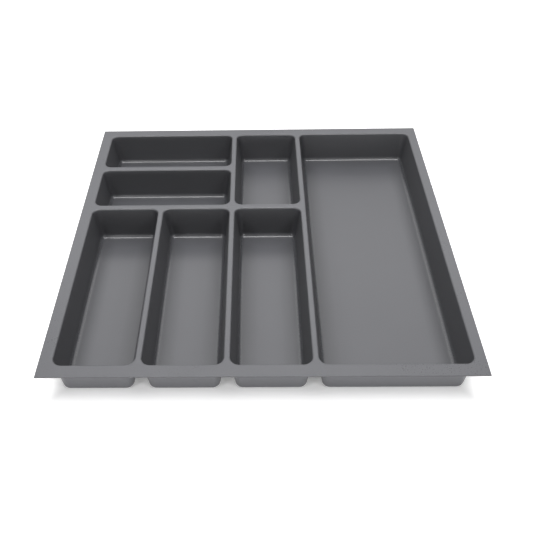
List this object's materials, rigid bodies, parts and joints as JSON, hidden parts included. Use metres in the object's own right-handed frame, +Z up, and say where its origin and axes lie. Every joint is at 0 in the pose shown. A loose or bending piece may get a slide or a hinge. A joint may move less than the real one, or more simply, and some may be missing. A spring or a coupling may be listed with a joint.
{
  "type": "cutlery tray",
  "caption": "Shallow drawer insert for cutlery: a flat grey plastic rim and dividers around long, short and wide open wells with sloping walls and rounded corners.",
  "frame": {"origin": "middle of the tray's box in plan, on the surface that the wells stand on", "axes": "+Z up out of the wells, +Y to the back of the drawer along the long wells, +X to the right, where the wide well is"},
  "size_m": [0.46, 0.484, 0.0435],
  "materials": {
    "grey_plastic": "satin"
  },
  "bodies": {
    "root": {"deck": "grey_plastic", "cutlery_well_left": "grey_plastic", "cutlery_well_middle": "grey_plastic", "cutlery_well_right": "grey_plastic", "small_well_front": "grey_plastic", "small_well_back": "grey_plastic", "short_well": "grey_plastic", "wide_well": "grey_plastic"}
  },
  "joints": []
}
